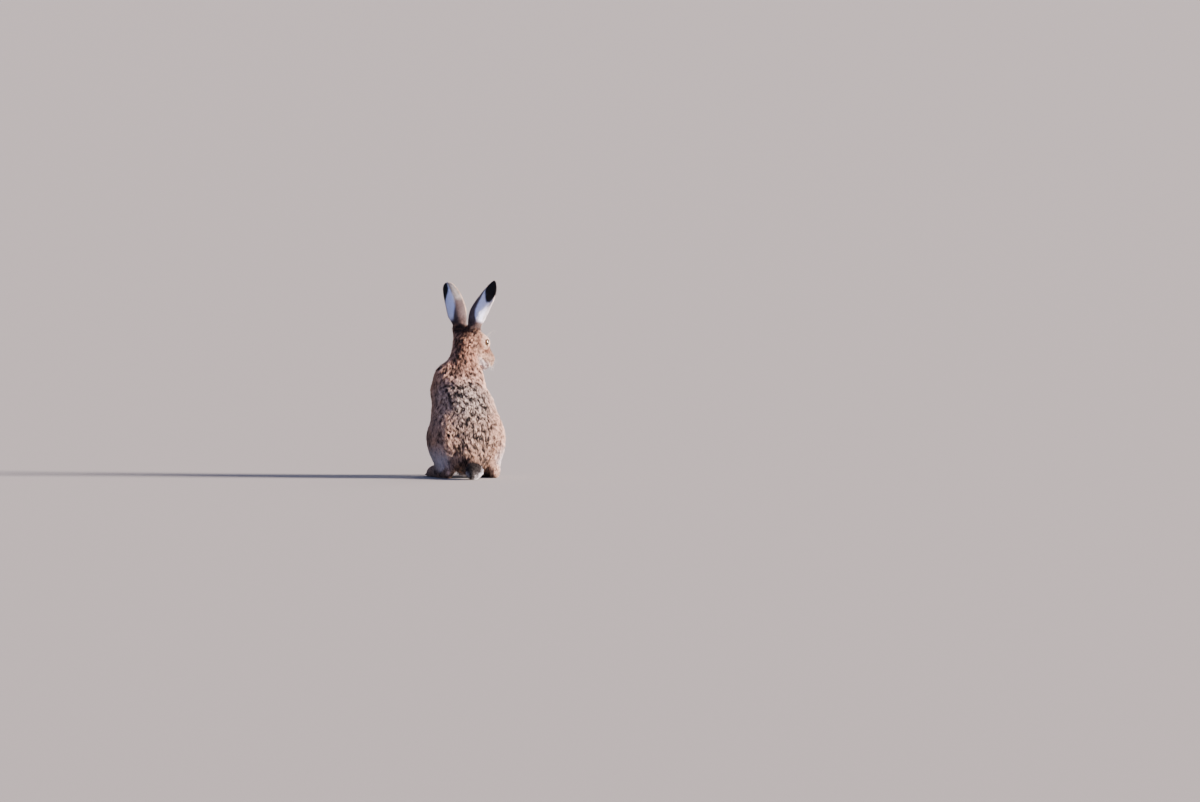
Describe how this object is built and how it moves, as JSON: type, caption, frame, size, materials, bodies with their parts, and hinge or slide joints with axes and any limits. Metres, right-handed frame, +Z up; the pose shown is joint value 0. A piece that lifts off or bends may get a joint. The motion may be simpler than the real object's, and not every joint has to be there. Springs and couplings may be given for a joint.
{
  "type": "brown hare",
  "caption": "Life-size brown hare sitting upright on all four feet, ears raised in a V and head turned to its right; a still model.",
  "frame": {"origin": "on the floor, under the middle of the model's bounding box", "axes": "+Z up; the body faces -Y, so the hare's left side is towards +X; the head is turned to the hare's right, towards -X"},
  "size_m": [0.1778, 0.2902, 0.441],
  "materials": {
    "coat": "dense fur of banded hairs, black, buff and cream, matte",
    "foot_fur": "short buff fur, matte",
    "tail_fur": "black fur above and white fur below, matte",
    "ear_fur": "very short fur, grey-brown and white with a black tip, matte",
    "eye": "wet gloss, amber iris and dark pupil"
  },
  "bodies": {
    "root": {"ear_left": "ear_fur", "ear_right": "ear_fur", "eye_left": "eye", "eye_right": "eye", "foreleg_left": "coat", "foreleg_right": "coat", "forepaw_left": "foot_fur", "forepaw_right": "foot_fur", "haunch_left": "coat", "haunch_right": "coat", "head": "coat", "hind_foot_left": "foot_fur", "hind_foot_right": "foot_fur", "neck": "coat", "tail": "tail_fur", "torso": "coat"}
  },
  "joints": []
}
